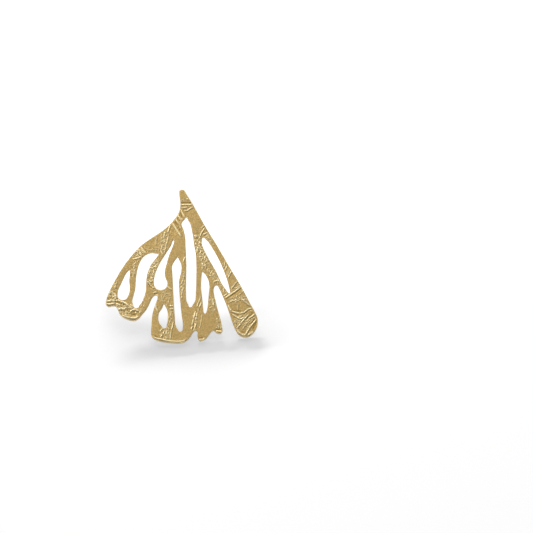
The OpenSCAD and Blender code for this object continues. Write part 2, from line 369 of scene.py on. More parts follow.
# %% The shoulder
crease_region(
    "shoulder",
    (0.08, 0.145, (-3.4, -3.5), (-3.7, -4.3), (-3.95, -5.3)),
    (0.05, 0.12, (-3.85, -5.7), (-3.92, -6.6), (-4.1, -7.4), (-4.32, -8.1), (-4.5, -9.0), (-4.8, -9.9)),
    (0.05, 0.13, (-4.6, -5.0), (-4.75, -5.8), (-4.85, -6.6)),
    (0.05, 0.13, (-5.3, -7.4), (-4.95, -7.05), (-4.6, -7.5)),
    (0.055, 0.13, (-5.1, -8.0), (-5.25, -8.6), (-5.42, -9.3), (-5.2, -9.85), (-4.9, -10.2)),
    (0.04, 0.12, (-5.5, -5.8), (-5.35, -6.7)),
    (0.03, 0.145, (-6.4, -6.2), (-6.55, -7.2), (-6.65, -8.3)),
    (0.03, 0.12, (-8.9, -8.7), (-8.2, -9.25), (-7.2, -9.2), (-6.4, -9.3)),
    (0.09, 0.145, (-9.8, -8.55), (-9.4, -9.1), (-9.0, -9.6), (-8.65, -10.05)),
    (0.08, 0.13, (-10.3, -8.95), (-10.05, -9.6), (-9.9, -10.1), (-9.5, -10.55)),
    (-0.055, 0.145, (-10.2, -8.65), (-10.0, -8.6)),
    (0.09, 0.145, (-11.7, -11.3), (-11.0, -11.15), (-10.55, -11.0), (-9.95, -10.82)),
    (0.055, 0.145, (-11.65, -10.4), (-11.4, -10.75)),
    (0.05, 0.13, (-10.65, -11.7), (-10.45, -11.6)),
    (0.04, 0.11, (-11.6, -12.3), (-11.25, -12.6), (-11.35, -13.5), (-11.2, -14.2), (-11.4, -15.1)),
)

# %% [markdown]
# The narrow bridges between the left slots are crumpled all over, into short ridges and pits.

# %% The inner bridges
crease_region(
    "inner bridge",
    (0.065, 0.13, (-7.35, -12.15), (-7.05, -12.35), (-6.7, -12.5)),
    (0.08, 0.155, (-6.85, -12.9), (-6.5, -13.15)),
    (0.09, 0.145, (-7.85, -13.25), (-7.55, -13.3), (-7.25, -13.45)),
    (0.07, 0.145, (-7.1, -13.8), (-6.95, -14.35)),
    (0.05, 0.13, (-7.95, -14.05), (-7.7, -14.2)),
    (0.065, 0.145, (-7.65, -15.2), (-7.4, -15.55)),
    (0.05, 0.13, (-7.5, -14.5), (-7.25, -14.8)),
    (0.04, 0.13, (-8.3, -14.9), (-8.15, -15.3)),
    (-0.065, 0.13, (-7.55, -13.7), (-7.3, -13.8)),
    (-0.055, 0.12, (-7.3, -12.9), (-7.25, -13.1)),
    (0.065, 0.155, (-7.95, -16.0), (-7.65, -16.35), (-7.25, -16.15)),
    (0.09, 0.145, (-8.65, -16.2), (-8.35, -16.35), (-8.05, -16.7), (-7.75, -17.05)),
    (0.055, 0.12, (-7.75, -17.05), (-7.4, -17.5), (-6.9, -17.8)),
    (-0.065, 0.13, (-8.35, -16.75), (-8.0, -17.1), (-7.8, -17.45), (-7.35, -17.75)),
    (0.03, 0.12, (-7.6, -18.15), (-6.9, -18.4)),
    (0.08, 0.13, (-7.05, -18.75), (-6.35, -18.7)),
    (-0.1, 0.155, (-6.9, -19.2), (-6.55, -19.1), (-6.2, -18.95)),
    (0.05, 0.13, (-8.0, -19.7), (-7.9, -20.2)),
    (0.08, 0.13, (-4.25, -17.15), (-3.9, -17.6), (-3.5, -17.93), (-2.95, -18.1)),
    (0.03, 0.11, (-4.0, -18.1), (-3.2, -18.35)),
    (0.04, 0.13, (-5.35, -19.7), (-5.15, -20.2), (-5.05, -20.8)),
    (0.04, 0.12, (-4.7, -19.5), (-4.2, -19.0), (-3.7, -19.15)),
    (0.05, 0.145, (-3.4, -19.2), (-3.3, -19.45)),
    (0.04, 0.13, (-3.55, -19.9), (-3.75, -21.0)),
    (-0.04, 0.145, (-5.65, -18.95), (-5.5, -19.1)),
)

# %% [markdown]
# The two lobes at the lower left were crushed most. Broad ridges follow their edges, and deep
# pits lie between them.

# %% The left lobes
crease_region(
    "left lobes",
    (0.11, 0.23, (-16.75, -18.8), (-16.2, -18.63), (-15.8, -18.9), (-15.4, -19.2), (-15.25, -19.8),
     (-15.35, -20.3)),
    (0.07, 0.19, (-15.95, -19.65), (-15.6, -19.65)),
    (0.1, 0.23, (-17.7, -20.45), (-17.2, -20.65), (-16.7, -20.63), (-16.2, -20.5), (-15.7, -20.62),
     (-15.3, -20.45)),
    (0.055, 0.17, (-16.8, -19.45), (-16.45, -19.65)),
    (-0.08, 0.17, (-16.5, -19.05), (-16.25, -19.4), (-16.15, -19.75)),
    (-0.09, 0.155, (-16.1, -20.05), (-15.85, -20.05)),
    (-0.065, 0.17, (-17.15, -19.8), (-16.8, -20.2), (-16.6, -20.15)),
    (-0.055, 0.145, (-17.0, -21.0), (-16.2, -20.85)),
    (0.1, 0.215, (-17.55, -20.85), (-17.25, -21.22), (-16.5, -21.3), (-15.8, -21.15), (-15.3, -21.0)),
    (0.12, 0.23, (-15.2, -20.5), (-14.9, -20.5), (-14.3, -20.65)),
    (0.11, 0.215, (-14.3, -20.65), (-13.7, -20.9), (-13.2, -21.15), (-12.85, -21.45), (-12.6, -21.85)),
    (-0.07, 0.12, (-14.6, -20.27), (-13.8, -20.5), (-13.1, -20.72)),
    (0.05, 0.13, (-14.1, -20.25), (-13.3, -20.25)),
    (-0.12, 0.205, (-14.95, -20.05), (-14.75, -20.12)),
    (0.09, 0.215, (-15.15, -21.15), (-14.8, -21.42), (-14.5, -21.6)),
    (-0.05, 0.18, (-14.3, -21.65), (-13.4, -21.9)),
    (0.085, 0.205, (-14.6, -22.45), (-14.0, -22.3), (-13.4, -22.4), (-13.0, -21.95)),
    (0.08, 0.19, (-14.95, -22.0), (-14.65, -22.4), (-14.4, -22.45)),
    (-0.13, 0.205, (-14.1, -22.72), (-13.85, -22.78)),
    (-0.11, 0.17, (-13.55, -22.95), (-13.2, -23.15)),
    (-0.13, 0.19, (-12.75, -22.6), (-12.55, -22.65)),
    (-0.08, 0.13, (-12.35, -22.85), (-12.2, -22.8)),
    (-0.1, 0.145, (-12.75, -23.45), (-12.6, -23.45)),
    (-0.09, 0.24, (-12.0, -23.45), (-11.5, -23.72), (-10.75, -23.6)),
    (-0.07, 0.13, (-11.9, -24.1), (-11.7, -24.08)),
    (0.13, 0.25, (-12.35, -21.98), (-12.05, -22.15), (-11.7, -22.3)),
    (0.08, 0.19, (-12.1, -21.4), (-11.6, -21.75), (-11.2, -21.95)),
    (0.1, 0.19, (-12.15, -22.95), (-11.7, -22.72), (-11.3, -22.52), (-10.8, -22.68), (-10.2, -22.8)),
    (0.1, 0.215, (-11.0, -23.25), (-10.75, -23.22)),
    (0.1, 0.215, (-13.85, -23.6), (-13.4, -23.93), (-12.8, -24.2), (-12.0, -24.4), (-11.2, -24.43),
     (-10.6, -24.25), (-10.25, -23.9)),
    (0.065, 0.145, (-13.3, -23.45), (-12.9, -23.75)),
    (0.065, 0.145, (-12.45, -23.2), (-12.1, -23.3)),
    (0.055, 0.18, (-10.1, -23.2), (-9.6, -22.95)),
    (0.065, 0.17, (-15.3, -17.2), (-15.5, -17.85)),
    (0.04, 0.11, (-15.05, -16.2), (-15.25, -16.95)),
    (0.03, 0.11, (-15.5, -15.9), (-15.65, -17.1)),
    (0.04, 0.12, (-9.6, -21.2), (-9.55, -21.9)),
)

# %% [markdown]
# The bridge on the right of the longest slot is beaded: most of its ridges are short and lie apart.

# %% The outer bridge
crease_region(
    "outer bridge",
    (0.05, 0.13, (4.0, -3.6), (3.4, -4.35)),
    (0.08, 0.13, (4.15, -4.15), (3.8, -4.8), (3.4, -5.4), (3.12, -6.15)),
    (-0.055, 0.13, (4.0, -5.25), (3.8, -5.35)),
    (0.08, 0.145, (4.65, -5.3), (4.2, -5.6), (3.8, -5.75)),
    (0.07, 0.13, (4.7, -5.4), (4.85, -5.65)),
    (0.07, 0.13, (4.6, -5.95), (4.8, -5.95)),
    (0.055, 0.13, (4.95, -6.3), (5.05, -6.55)),
    (0.065, 0.13, (5.3, -7.0), (5.45, -7.3)),
    (0.07, 0.155, (1.85, -5.85), (2.05, -6.15), (2.4, -6.1)),
    (0.065, 0.145, (2.0, -6.45), (2.35, -6.4)),
    (-0.07, 0.145, (2.1, -5.72), (2.35, -5.68)),
    (-0.055, 0.13, (2.5, -6.65), (2.7, -6.55)),
    (0.065, 0.13, (2.95, -6.25), (3.2, -6.65)),
    (0.065, 0.155, (2.4, -7.1), (2.6, -7.3)),
    (0.07, 0.145, (2.0, -7.85), (2.25, -7.95)),
    (-0.1, 0.155, (2.15, -8.35), (2.3, -8.38)),
    (0.08, 0.12, (2.92, -7.25), (3.1, -7.6), (3.32, -7.85)),
    (-0.065, 0.12, (3.2, -7.1), (3.35, -7.3)),
    (-0.065, 0.13, (3.2, -8.15), (3.35, -8.25)),
    (0.08, 0.13, (2.6, -8.55), (2.5, -9.1), (2.55, -9.75)),
    (0.05, 0.11, (3.35, -8.4), (3.3, -8.8)),
    (0.05, 0.11, (3.1, -9.2), (3.35, -9.5), (3.2, -9.8)),
    (0.055, 0.13, (3.15, -10.6), (3.25, -11.0)),
    (0.065, 0.145, (4.35, -10.5), (4.2, -11.0), (4.3, -11.3)),
    (0.055, 0.11, (3.4, -11.8), (3.7, -12.4), (3.95, -12.9)),
    (0.055, 0.11, (4.1, -12.3), (4.4, -12.9), (4.2, -13.4)),
    (0.065, 0.13, (3.5, -13.2), (3.8, -13.5)),
    (0.04, 0.11, (4.95, -14.2), (5.3, -13.9), (5.65, -14.2), (5.4, -14.55)),
    (0.055, 0.12, (5.15, -15.0), (5.5, -15.0)),
    (0.055, 0.12, (5.95, -14.75), (6.2, -14.7)),
    (0.065, 0.145, (5.95, -15.6), (6.1, -15.9)),
    (-0.07, 0.13, (6.45, -15.9), (6.75, -15.82)),
    (0.065, 0.145, (6.1, -16.5), (6.5, -16.25), (7.0, -16.1), (7.2, -16.4)),
    (0.065, 0.145, (7.5, -16.75), (7.7, -16.95)),
    (0.055, 0.12, (6.9, -15.5), (7.05, -15.7)),
    (0.065, 0.12, (8.3, -17.9), (8.3, -18.7)),
    (0.05, 0.12, (8.55, -17.7), (8.75, -18.0)),
    (0.05, 0.11, (7.7, -17.2), (7.9, -17.5)),
)

# %% [markdown]
# One long fold crosses the strut where it widens, with finer folds beside it and loose ones below.

# %% The strut
crease_region(
    "strut",
    (0.05, 0.11, (8.45, -12.1), (8.6, -12.9)),
    (0.06, 0.12, (9.05, -12.85), (8.85, -13.3), (8.62, -13.8)),
    (0.055, 0.13, (9.55, -13.75), (9.65, -13.9)),
    (0.07, 0.13, (9.98, -14.05), (9.6, -14.8), (9.3, -15.5)),
    (0.05, 0.11, (9.4, -14.1), (9.2, -14.9)),
    (0.06, 0.13, (11.35, -16.25), (10.85, -16.8), (10.4, -17.4), (9.95, -17.9)),
    (0.05, 0.11, (11.9, -17.2), (11.3, -17.65), (10.7, -18.0)),
    (0.085, 0.155, (12.15, -17.4), (11.6, -17.9), (11.0, -18.4), (10.4, -18.82), (9.8, -19.25),
     (9.2, -19.65), (8.55, -20.1)),
    (-0.04, 0.145, (12.0, -17.95), (11.2, -18.65), (10.4, -19.18), (9.6, -19.72)),
    (0.08, 0.145, (9.05, -19.12), (8.35, -19.55)),
    (0.07, 0.155, (12.55, -18.4), (12.35, -18.65)),
    (0.06, 0.145, (11.85, -19.15), (11.65, -19.3)),
    (0.04, 0.11, (12.3, -18.75), (11.8, -19.15)),
    (0.055, 0.12, (11.2, -19.35), (11.05, -20.0)),
    (0.06, 0.13, (11.7, -19.9), (11.85, -19.95)),
    (0.06, 0.155, (12.0, -20.0), (12.5, -20.5), (12.95, -20.95), (13.25, -21.1), (13.6, -21.45),
     (14.3, -21.85)),
    (0.05, 0.12, (9.3, -21.05), (10.0, -20.75), (10.7, -20.6), (11.4, -20.2)),
    (0.04, 0.12, (10.8, -21.0), (11.4, -20.6), (12.0, -20.4)),
    (-0.05, 0.13, (11.05, -20.35), (11.4, -20.3)),
    (-0.04, 0.13, (9.7, -20.4), (10.1, -20.3)),
    (0.03, 0.145, (11.55, -21.2), (11.4, -22.0), (11.3, -22.8)),
)

# %% [markdown]
# Long curved folds run round the end of the strut, as in a pulled cloth.

# %% The strut's end
crease_region(
    "strut end",
    (0.08, 0.155, (9.25, -21.6), (9.65, -22.25), (9.95, -22.9)),
    (0.08, 0.155, (9.95, -22.95), (10.4, -23.15), (11.0, -23.3), (11.75, -23.55)),
    (0.08, 0.155, (11.75, -23.55), (12.4, -23.35), (12.9, -23.15), (13.3, -22.78), (13.75, -22.48),
     (14.4, -22.4)),
    (-0.05, 0.13, (10.4, -22.8), (11.2, -22.98), (12.2, -22.95)),
    (0.08, 0.145, (10.05, -23.55), (10.6, -23.98), (11.1, -24.28), (11.6, -24.58), (12.1, -24.62),
     (12.7, -24.45)),
    (0.055, 0.12, (11.7, -24.15), (12.0, -24.2)),
    (-0.055, 0.13, (11.2, -23.95), (11.6, -23.95)),
    (0.08, 0.155, (13.75, -23.75), (13.2, -24.3), (12.7, -24.8), (12.2, -25.4), (11.9, -25.8),
     (11.5, -26.3), (11.2, -26.75)),
    (-0.055, 0.155, (14.75, -23.35), (14.2, -23.9), (13.6, -24.45), (13.1, -25.0)),
    (0.07, 0.145, (15.25, -23.45), (14.6, -24.0), (14.0, -24.4), (13.7, -24.6)),
    (0.05, 0.12, (14.1, -22.95), (14.6, -22.95)),
    (0.05, 0.11, (14.85, -24.4), (15.3, -24.7)),
    (0.085, 0.155, (15.5, -24.75), (15.0, -25.3), (14.5, -25.9), (14.0, -26.6), (13.6, -27.2),
     (13.2, -27.9), (13.02, -28.35)),
    (-0.045, 0.145, (15.1, -24.75), (14.5, -25.4), (14.0, -26.05)),
    (-0.04, 0.17, (15.5, -25.3), (15.1, -26.0), (14.6, -26.9)),
    (0.05, 0.12, (14.6, -25.0), (14.2, -25.35)),
    (0.04, 0.145, (13.6, -25.4), (13.2, -25.6)),
    (0.04, 0.145, (13.0, -26.0), (12.6, -26.5), (12.4, -27.0)),
    (0.1, 0.18, (11.3, -26.95), (11.5, -27.6), (12.0, -28.03), (12.6, -28.25), (13.2, -28.38)),
    (0.085, 0.165, (13.5, -28.25), (14.1, -27.95), (14.7, -27.55)),
    (-0.05, 0.145, (12.1, -27.5), (12.7, -27.75)),
    (-0.05, 0.13, (10.95, -25.1), (11.35, -25.45)),
    (0.05, 0.12, (10.85, -25.7), (11.05, -26.2)),
)

# %% [markdown]
# The middle lobe is plain but for one band of small folds, and a ridge along its lower edge.

# %% The middle lobe
crease_region(
    "middle lobe",
    (0.065, 0.12, (-6.55, -21.5), (-6.35, -22.2), (-6.1, -22.85)),
    (0.065, 0.145, (-4.15, -21.4), (-4.05, -21.6)),
    (0.065, 0.12, (-3.45, -21.68), (-2.75, -21.75)),
    (0.065, 0.12, (-3.45, -22.45), (-2.75, -22.35)),
    (0.05, 0.12, (-3.0, -23.1), (-3.25, -23.6), (-3.2, -24.1)),
    (0.05, 0.12, (-3.35, -24.7), (-3.5, -25.5)),
    (0.08, 0.12, (-2.68, -25.3), (-2.85, -26.2), (-3.05, -27.0)),
    (0.065, 0.12, (-3.1, -27.2), (-3.22, -28.0), (-3.35, -29.1)),
    (0.08, 0.145, (-4.05, -26.35), (-3.75, -26.65), (-3.55, -26.95)),
    (0.07, 0.12, (-4.0, -27.15), (-4.25, -27.6), (-3.95, -27.95)),
    (0.065, 0.13, (-5.05, -26.75), (-5.35, -27.1), (-5.5, -27.35)),
    (0.07, 0.145, (-5.35, -27.85), (-5.15, -28.25), (-5.45, -28.6)),
    (0.05, 0.12, (-4.6, -27.2), (-4.85, -27.9)),
    (0.055, 0.13, (-4.35, -28.4), (-4.1, -28.9)),
    (-0.05, 0.12, (-6.7, -28.4), (-5.9, -28.75)),
    (0.09, 0.16, (-7.3, -28.3), (-6.9, -28.65), (-6.3, -28.95), (-5.4, -29.1), (-4.5, -29.35),
     (-3.6, -29.5), (-2.5, -29.6), (-1.3, -29.6), (-0.4, -29.45), (0.1, -29.0)),
    (0.04, 0.11, (-3.6, -23.2), (-3.6, -24.2), (-3.8, -25.2)),
)

# %% [markdown]
# Thin lines of folds run down to the two teeth, and each tooth has a bright lower rim.

# %% The teeth
crease_region(
    "teeth",
    (0.055, 0.11, (3.25, -19.5), (3.05, -20.4), (2.75, -21.0)),
    (0.07, 0.12, (2.75, -20.95), (2.5, -21.9)),
    (0.065, 0.12, (3.5, -20.9), (3.2, -21.55), (3.0, -22.1)),
    (0.05, 0.12, (2.85, -22.3), (2.7, -22.95)),
    (0.09, 0.13, (2.15, -22.95), (2.0, -23.6), (1.8, -24.4)),
    (0.07, 0.13, (1.7, -24.7), (1.58, -25.4), (1.38, -26.0)),
    (0.07, 0.13, (1.45, -26.3), (1.2, -26.95)),
    (-0.07, 0.12, (1.82, -25.6), (1.7, -26.5), (1.45, -27.3)),
    (0.055, 0.12, (2.52, -23.2), (2.42, -24.1)),
    (0.08, 0.145, (2.38, -24.4), (2.25, -24.8)),
    (0.08, 0.145, (2.2, -25.6), (2.12, -26.2), (2.05, -26.6)),
    (0.05, 0.095, (3.62, -23.6), (3.48, -24.4), (3.35, -25.4), (3.15, -26.3), (2.95, -26.9)),
    (0.055, 0.13, (5.2, -20.6), (5.45, -20.4)),
    (0.065, 0.13, (5.9, -20.1), (6.0, -21.0), (6.1, -21.8)),
    (0.05, 0.12, (5.15, -22.1), (5.5, -22.3)),
    (0.07, 0.13, (6.15, -22.35), (6.38, -22.7)),
    (-0.05, 0.13, (5.2, -21.75), (5.5, -21.8)),
    (0.05, 0.12, (6.7, -24.45), (6.95, -24.75)),
    (0.055, 0.12, (7.05, -26.0), (7.3, -26.5)),
    (0.05, 0.12, (6.45, -26.7), (6.9, -26.6)),
    (-0.055, 0.13, (7.5, -25.2), (7.6, -25.6)),
    (-0.055, 0.13, (6.75, -25.0), (6.95, -25.05)),
    (-0.08, 0.145, (6.5, -26.95), (7.2, -27.05), (7.85, -26.95)),
    (0.1, 0.16, (6.6, -27.32), (7.1, -27.42), (7.85, -27.5)),
    (-0.09, 0.145, (3.0, -28.85), (3.4, -28.93), (3.8, -28.8)),
    (0.1, 0.17, (3.0, -29.1), (3.5, -29.2), (4.1, -29.0)),
)

# %% [markdown]
# A strip of small folds lies between the two longest slots.

# %% The inner strip
crease_region(
    "inner strip",
    (0.065, 0.12, (-0.1, -10.7), (-0.35, -11.2), (-0.6, -11.9)),
    (0.04, 0.12, (-0.6, -12.2), (-0.45, -12.4)),
    (0.05, 0.12, (-0.3, -14.7), (-0.45, -15.4), (-0.5, -15.8)),
    (0.05, 0.12, (-0.6, -16.0), (-0.85, -16.5), (-0.8, -17.0)),
    (0.07, 0.13, (-1.0, -17.3), (-0.95, -17.6)),
    (0.07, 0.12, (-0.5, -17.6), (-0.7, -18.4), (-0.8, -18.9), (-0.95, -19.4)),
    (0.04, 0.11, (-1.2, -17.8), (-1.3, -18.4)),
    (-0.055, 0.145, (-1.05, -16.4), (-0.9, -16.4)),
    (-0.05, 0.13, (-0.9, -17.9), (-0.85, -18.1)),
    (0.04, 0.12, (-0.8, -19.5), (-1.0, -20.3)),
)

# %% [markdown]
# Crinkled patches lie between the plain fields, mostly on the narrow bridges. Each is an ellipse
# with a ragged edge: its middle, its half length and half width, the turn of its long side and
# how high it stands. The foil pattern is squeezed across the long side, so its folds run along it.

# %% Crinkled patches
patches = [
    # x, y, half length, half width, turn in degrees, height
    (0.1, 2.2, 0.9, 0.5, 0, 0.04),
    (0.3, 0.5, 1.4, 0.7, 0, 0.04),
    (-1.4, -2.1, 1.9, 1.0, -50, 0.035),
    (-1.4, -4.0, 1.3, 0.5, -55, 0.035),
    (-4.9, -7.3, 3.0, 0.9, 82, 0.05),
    (-7.4, -9.0, 1.6, 0.5, 0, 0.03),
    (-10.6, -10.1, 1.7, 1.1, 40, 0.06),
    (-7.35, -13.8, 3.4, 1.0, 76, 0.08),
    (-11.6, -13.6, 2.8, 0.6, 82, 0.08),
    (-15.6, -16.8, 2.2, 0.8, 66, 0.04),
    (-16.4, -19.6, 1.2, 0.9, 0, 0.04),
    (-13.1, -22.4, 2.6, 1.2, -25, 0.06),
    (-9.5, -21.4, 1.9, 0.6, 70, 0.04),
    (2.5, -7.6, 2.4, 0.9, 95, 0.065),
    (3.9, -11.2, 3.0, 1.1, 108, 0.06),
    (6.3, -15.4, 2.4, 1.0, 122, 0.05),
    (8.2, -18.0, 1.4, 0.6, 115, 0.06),
    (5.7, -21.3, 2.0, 0.7, 93, 0.06),
    (5.2, -6.6, 1.7, 0.6, 120, 0.06),
    (9.1, -13.6, 2.0, 0.6, 115, 0.05),
    (10.9, -17.3, 1.3, 0.6, 38, 0.045),
    (11.4, -20.3, 2.2, 0.7, 5, 0.065),
    (12.6, -25.2, 2.4, 1.6, 48, 0.055),
    (-0.7, -17.0, 3.2, 0.5, 86, 0.05),
    (-4.5, -27.7, 1.7, 1.0, 90, 0.06),
    (-3.4, -24.0, 2.6, 0.5, 88, 0.05),
    (7.3, -25.6, 1.5, 0.6, 100, 0.06),
    (2.1, -25.0, 2.6, 0.7, 84, 0.05),
    (-4.6, -19.6, 1.5, 1.2, 0, 0.045),
    (-6.4, -22.2, 1.3, 0.5, 110, 0.04),
]
print(len(patches), "crinkled patches")


def along_patch(x, y, row):
    """Places measured from a patch's middle: u along its long side and v across it."""
    cx, cy, _, _, turn, _ = row
    angle = math.radians(turn)
    u = (x - cx) * math.cos(angle) + (y - cy) * math.sin(angle)
    v = (y - cy) * math.cos(angle) - (x - cx) * math.sin(angle)
    return u, v


# %% [markdown]
# Foil crumples into ridges of more than one size, so two sets of ridges are laid over each other, bent by a
# slow noise. The slopes that face the lights get a painted highlight, on top of a rub on the ridges. Those
# slopes are found by comparing the foil a little behind each place and a little ahead of it.

# %% Crumpled foil
coarse_foil = 0.72
coarse_squeeze = 1.3
fine_foil = 0.45
fine_squeeze = 1.2
fine_share = 0.7
foil_grit = 0.3
grit_size = 0.25
bend_height = 0.35
bend_size = 0.7
foil_middle = 0.3
ragged_depth = 0.25
ragged_size = 0.9
patch_edge = 1.2
patch_fade = 0.35
strong_rise = 0.08
# The pale mask, a rub and a painted highlight: shares of the foil's height and of its slope towards the
# lights, then the gain, the cut and the limits.
height_share = 0.35
slope_share = 0.75
ahead_share = 0.6
rub_highlight_gain = 1.4
rub_highlight_cut = 0.1
least_rub_highlight = 0.08
most_rub_highlight = 0.9
# The painted shade in the pits: it ends where the foil is a quarter high.
pit_shade_gain = 4
most_pit_shade = 0.6
lit_reach = 0.07 * lit_side / np.hypot(*lit_side)


def crumple(x, y, row, number):
    """Crumpled foil of one patch: thin ridges of two sizes and a fine swell. The ridges are bent by a slow
    noise and squeezed across the patch, so that they run along it."""
    u, v = along_patch(x, y, row)
    bend = bend_height * swell(u, v, bend_size, seeds["bend"] + number)
    coarse = wrinkles(u + bend, coarse_squeeze * v - bend, coarse_foil, seeds["coarse foil"] + number)
    fine = wrinkles(u - bend, fine_squeeze * v + bend, fine_foil, seeds["fine foil"] + number)
    return np.maximum(coarse, fine_share * fine) + foil_grit * swell(x, y, grit_size, seeds["grit"])


def add_patches(x, y, rows, height, crest, hollow):
    """Adds crumpled foil inside each ragged ellipse, fading out over its edge. The pale mask, a rub and a
    painted highlight, is highest where the foil falls towards the lit side: high behind a place and low
    ahead of it. The pits get painted shade."""
    ragged = ragged_depth * swell(x, y, ragged_size, seeds["ragged edge"])
    for number, row in enumerate(rows):
        length, width, rise = row[2], row[3], row[5]
        u, v = along_patch(x, y, row)
        inside = np.clip((patch_edge - np.hypot(u / length, v / width) - ragged) / patch_fade, 0, 1)
        near = inside > 0
        share = inside[near]
        strong = min(1, rise / strong_rise)
        foil = crumple(x[near], y[near], row, number)
        behind = crumple(x[near] - lit_reach[0], y[near] - lit_reach[1], row, number)
        ahead = crumple(x[near] + lit_reach[0], y[near] + lit_reach[1], row, number)
        worn_and_lit = height_share * foil + slope_share * np.clip(behind - ahead_share * ahead, 0, 1)
        rub_highlight = share * np.clip(rub_highlight_gain * worn_and_lit - rub_highlight_cut, least_rub_highlight, 1) * (most_rub_highlight * strong)
        pit_shade = most_pit_shade * share * np.clip(1 - pit_shade_gain * foil, 0, 1) * strong
        height[near] += rise * share * (foil - foil_middle)
        crest[near] = np.maximum(crest[near], rub_highlight)
        hollow[near] = np.maximum(hollow[near], pit_shade)


# %% [markdown]
# The whole front is now one function of a place on the chart: slow swells, patches and creases. It
# gives the height and both masks. The rim and the face both ask it, so they agree where they meet,
# which three layers of displacement on separate meshes would not.

# %% The whole relief
swells = [
    # height, size, seed
    (0.05, 6.0, 1),
    (0.012, 1.3, 2),
    (0.004, 0.33, 3),
]


def relief(x, y):
    """Height of the front over its flat face, in mm: swells plus patches plus creases. Also its two masks,
    from 0 to 1: the crest mask of rubs and painted highlight, and the hollow mask of painted shade."""
    height = sum(rise * swell(x, y, size, seed) for rise, size, seed in swells)
    crest = np.zeros(len(x))
    hollow = np.zeros(len(x))
    add_patches(x, y, patches, height, crest, hollow)
    add_creases(x, y, crease_rows, height, crest, hollow)
    return height, crest, hollow


print(len(crease_rows), "creases in all")

# %% [markdown]
# The sheet is two faces joined by a rim. The rim is a profile carried along every border: from
# the front face it rounds over, drops down the wall and rounds under to the back. The two faces
# are even fields of points, staggered row by row, and a constrained Delaunay triangulation joins
# them to the rim's inner lines. A plain grid cut by the outline would leave stairs at the edge.

# %% The rim's profile
front_round = 0.16
back_round = 0.12
# How far in from the border a line of the profile runs.
front_insets = front_round * np.array([1, 0.6, 0.3, 0.08, 0])
back_insets = back_round * np.array([0, 1])


def arc_drop(inset, radius):
    """How far a round of that radius has fallen where it is that far in from the border."""
    return radius - np.sqrt(radius**2 - (radius - inset) ** 2)


# Each line of the profile: inset, height over the back face, and how much of the relief and of the painted
# shade of the edge it has.
profile = [
    (i, thickness - arc_drop(i, front_round), share, edge_shade)
    for i, share, edge_shade in zip(front_insets, (1, 0.9, 0.7, 0.5, 0.3), (0, 0, 0.1, 0.4, 0.7))
]
profile += [(i, arc_drop(i, back_round), 0, edge_shade) for i, edge_shade in zip(back_insets, (0.8, 0.5))]
print(len(profile), "lines in the rim's profile")

# %% [markdown]
# The rims are the brightest and the darkest lines of the real sheet. Those that face down the wing get a
# painted highlight on their round, and those that face right a little of it. Rims that face up and left,
# and the wall and the back round of every rim, get painted shade. These masks could be painted by hand, but
# a rim faces opposite to its inward direction, so both follow from that all round every border.

# %% The rims
# Inward direction of the rims with the most painted shade, which face up and left.
inward_of_most_shaded = np.array([0.8, -0.6])
rim_highlight_from = 0.45
rim_highlight_gain = 2.2
side_gain = 1.1
most_rim_shade = 0.85
# The band of painted highlight on the round: its middle and its half width, as shares of the round.
band_middle = 0.4
band_half = 0.7
# Out from this share of the round, a rim that faces up or left gets painted shade.
shade_band = 0.7
highlight_clears_shade = 0.6


def rim_rings(points, inward):
    """Rings of the rim along one border, front face first: each point steps inward by the profile's inset.
    A ring's rows hold x, y, height, crest and hollow."""
    rings = []
    faces_left = inward @ inward_of_most_shaded
    faces_down = rim_highlight_gain * (inward[:, 1] - rim_highlight_from)
    rim_highlight = np.clip(np.maximum(faces_down, -side_gain * faces_left), 0, 1)
    rim_shade = np.clip(side_gain * faces_left, 0, most_rim_shade)
    for inset, height, share, edge_shade in profile:
        place = points + inset * inward
        bump, crest, hollow = relief(*place.T)
        in_band = max(0, 1 - abs(inset / front_round - band_middle) / band_half)
        band_highlight = rim_highlight * in_band * (share > 0)
        crest = np.maximum(crest * share, band_highlight)
        painted_shade_share = np.maximum(edge_shade, rim_shade * (inset < shade_band * front_round))
        shade = painted_shade_share * (1 - highlight_clears_shade * band_highlight)
        hollow = np.maximum(hollow * share * (1 - rim_highlight), shade)
        rings.append(np.column_stack([place, height + share * bump, crest, hollow]))
    return rings


def ring_faces(start, count, rings):
    """Quads between neighbouring rings that hold count points each, wound to face out of the metal."""
    k = np.arange(count)
    onward = (k + 1) % count
    ring = start + count * np.arange(rings - 1)[:, None]
    return np.stack([ring + k, ring + count + k, ring + count + onward, ring + onward], 2).reshape(-1, 4)


# %% [markdown]
# Each face is a field of points inside the innermost line of the rim. Even triangles take the light
# smoothly, where the long thin ones of a filled polygon would streak it. A point is kept if it
# lies inside the borders and clear of the rim, so that no sliver forms beside it.

# %% The two faces
def inside_borders(points, edges):
    """True for points between the borders: a level ray from there crosses an odd number of edges."""
    crossings = np.zeros(len(points), int)
    for part in np.array_split(edges, max(1, len(edges) // 100)):
        x1, y1, x2, y2 = part.T[:, None, :]
        rows = (y1 > points[:, 1:]) != (y2 > points[:, 1:])
        with np.errstate(divide="ignore", invalid="ignore"):
            cut = x1 + (points[:, 1:] - y1) * (x2 - x1) / (y2 - y1)
        crossings += (rows & (points[:, :1] < cut)).sum(1)
    return crossings % 2 == 1


def clear_of(points, others, gap):
    """True for points farther than about a gap from all the others. The cells round each of the others are
    marked: half a gap wide, five by five without their corners."""
    cell = gap / 2
    steps = range(-2, 3)
    round_it = [(dx, dy) for dx in steps for dy in steps if dx * dx + dy * dy <= 5]
    corner = points.min(0) - 2 * gap
    table = np.zeros(((np.ptp(points, axis=0) + 4 * gap) / cell + 3).astype(int), bool)
    i, j = ((others - corner) / cell).astype(int).T
    for dx, dy in round_it:
        table[np.clip(i + dx, 0, len(table) - 1), np.clip(j + dy, 0, table.shape[1] - 1)] = True
    i, j = ((points - corner) / cell).astype(int).T
    return ~table[i, j]


